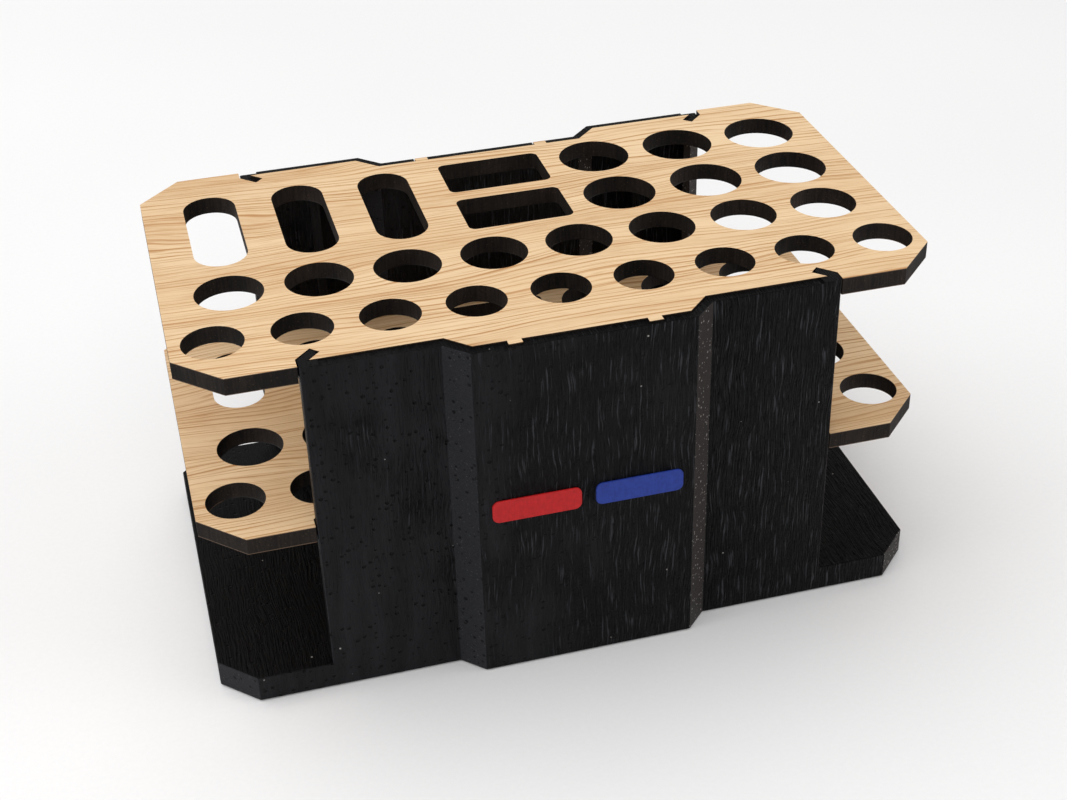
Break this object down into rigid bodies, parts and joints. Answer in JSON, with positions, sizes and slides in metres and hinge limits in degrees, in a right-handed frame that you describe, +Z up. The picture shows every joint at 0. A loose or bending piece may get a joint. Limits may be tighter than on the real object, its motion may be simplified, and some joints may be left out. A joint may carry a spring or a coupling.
{
  "type": "tool storage caddy",
  "caption": "Desktop tool caddy: black moulded body with hooked front and back walls holding two lift-out boards drilled with round holes, slots and windows.",
  "frame": {"origin": "on the table, under the middle of the whole caddy", "axes": "+X to the right seen from the front, +Y to the back, +Z up"},
  "size_m": [0.2084, 0.1228, 0.1065],
  "materials": {
    "black_plastic": "satin black, fine upright grain on the flat faces, speckled creases",
    "board_core": "fibreboard with laser-burnt edges",
    "board_face": "printed light oak grain, satin",
    "red_plastic": "red, low gloss",
    "blue_plastic": "blue, low gloss",
    "foot_rubber": "matt black rubber"
  },
  "bodies": {
    "base": {"body_moulding": "black_plastic", "accent_bar_red": "red_plastic", "accent_bar_blue": "blue_plastic", "foot_front_left": "foot_rubber", "foot_front_right": "foot_rubber", "foot_rear_left": "foot_rubber", "foot_rear_right": "foot_rubber"},
    "lower_board": {"lower_board_core": "board_core", "lower_board_face": "board_face", "lower_board_backing": "board_face"},
    "upper_board": {"upper_board_core": "board_core", "upper_board_face": "board_face", "upper_board_backing": "board_face"}
  },
  "joints": [
    {"name": "upper_board_lift", "type": "slide", "parent": "base", "child": "upper_board", "axis": [0, 0, 1], "range_m": [0, 0.03]},
    {"name": "lower_board_lift", "type": "slide", "parent": "base", "child": "lower_board", "axis": [0, 0, 1], "range_m": [0, 0.04]}
  ]
}
